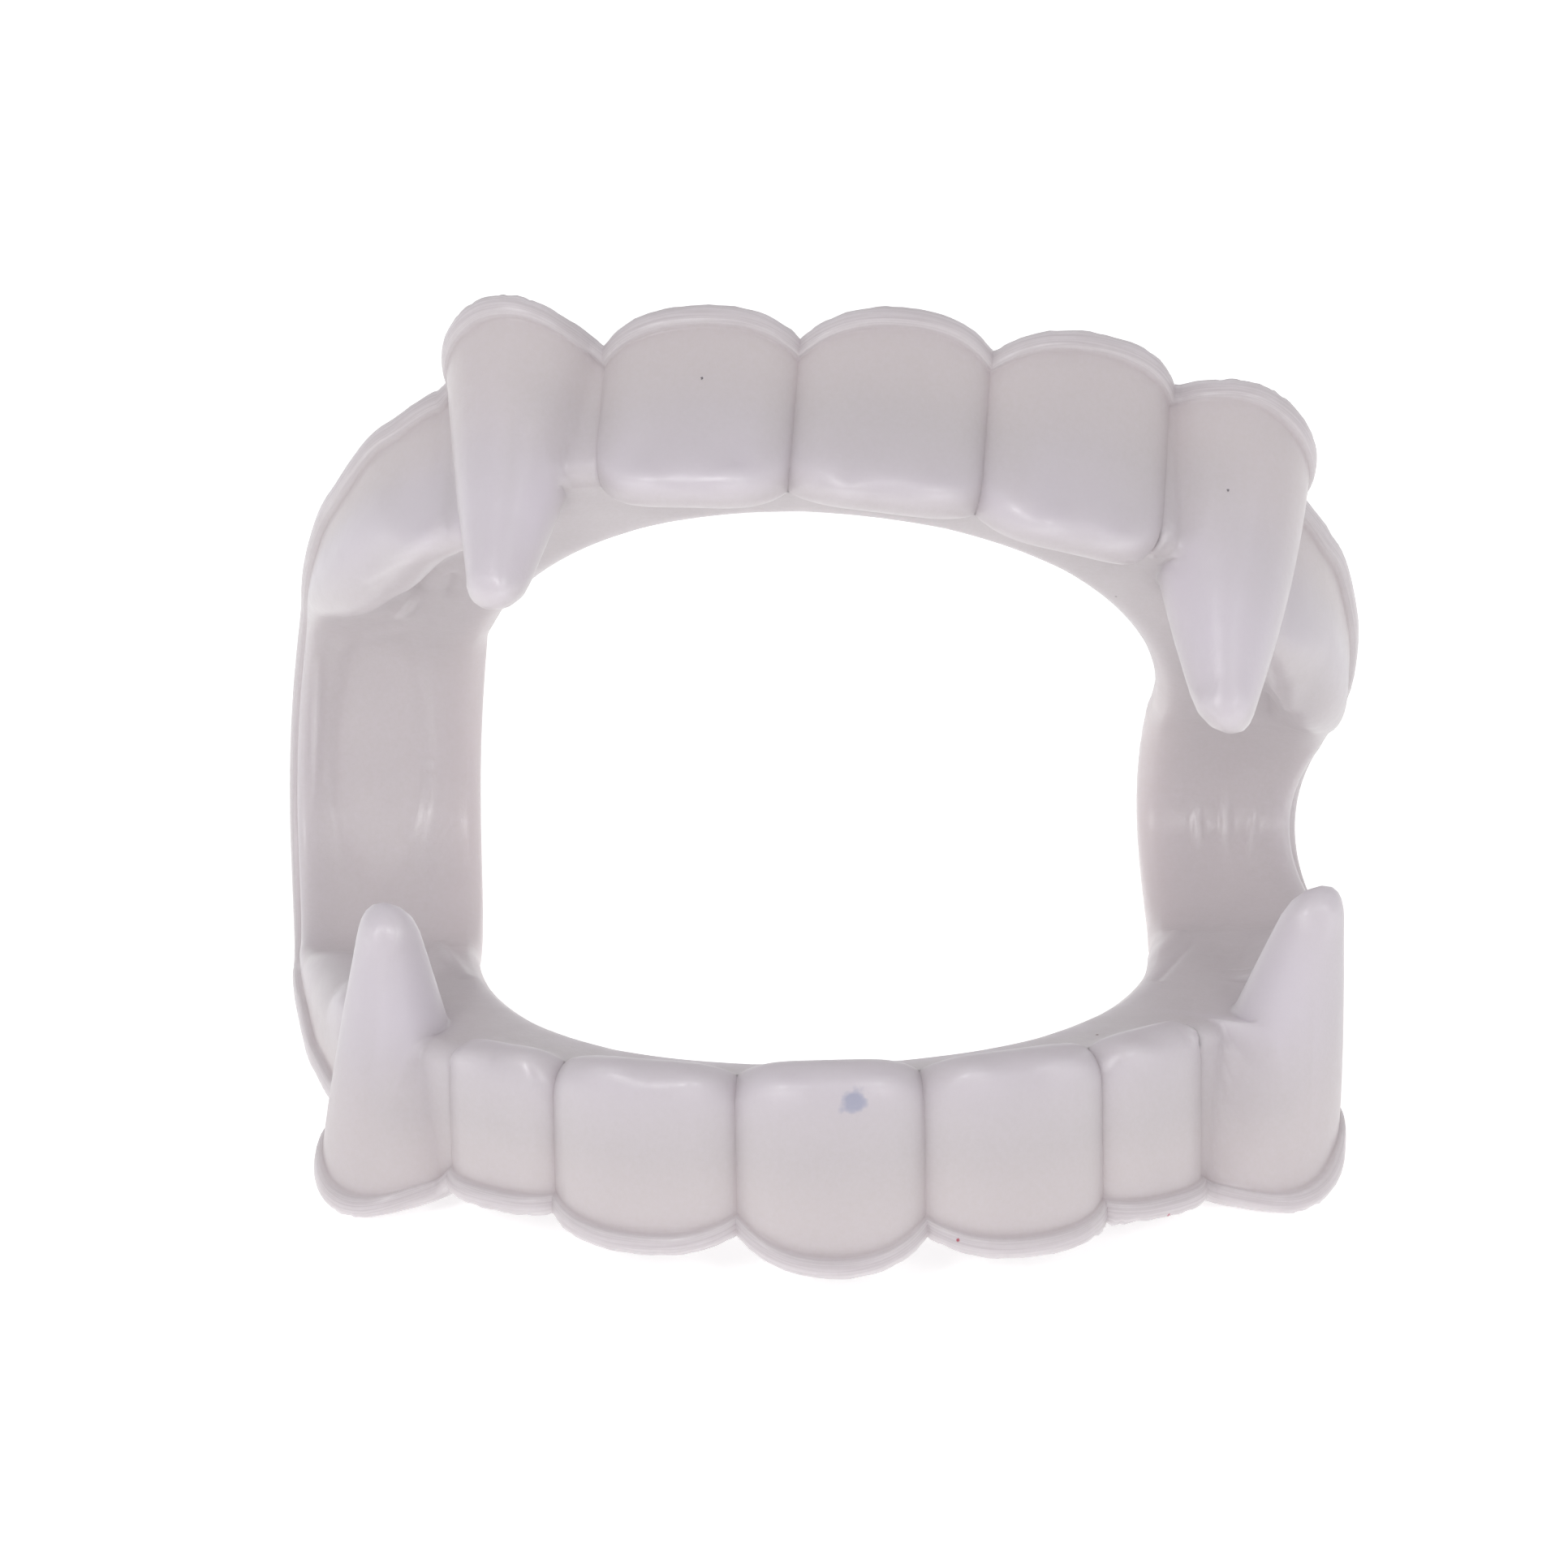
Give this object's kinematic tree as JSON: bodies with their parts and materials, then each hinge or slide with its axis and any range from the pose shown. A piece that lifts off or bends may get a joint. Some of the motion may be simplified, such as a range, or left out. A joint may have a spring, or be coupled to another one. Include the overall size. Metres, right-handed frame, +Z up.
{
  "type": "vampire fang denture",
  "caption": "Soft one-piece novelty denture: upper and lower tooth arches with long fangs, joined by thin flexible straps at both sides.",
  "frame": {"origin": "middle of the footprint, on the surface the set stands on", "axes": "+X towards the picture's right, -Y towards the front teeth, +Z up"},
  "size_m": [0.059, 0.0426, 0.0428],
  "materials": {
    "translucent_plastic": "milky translucent soft plastic with a slight grain"
  },
  "bodies": {
    "root": {"denture": "translucent_plastic"}
  },
  "joints": []
}
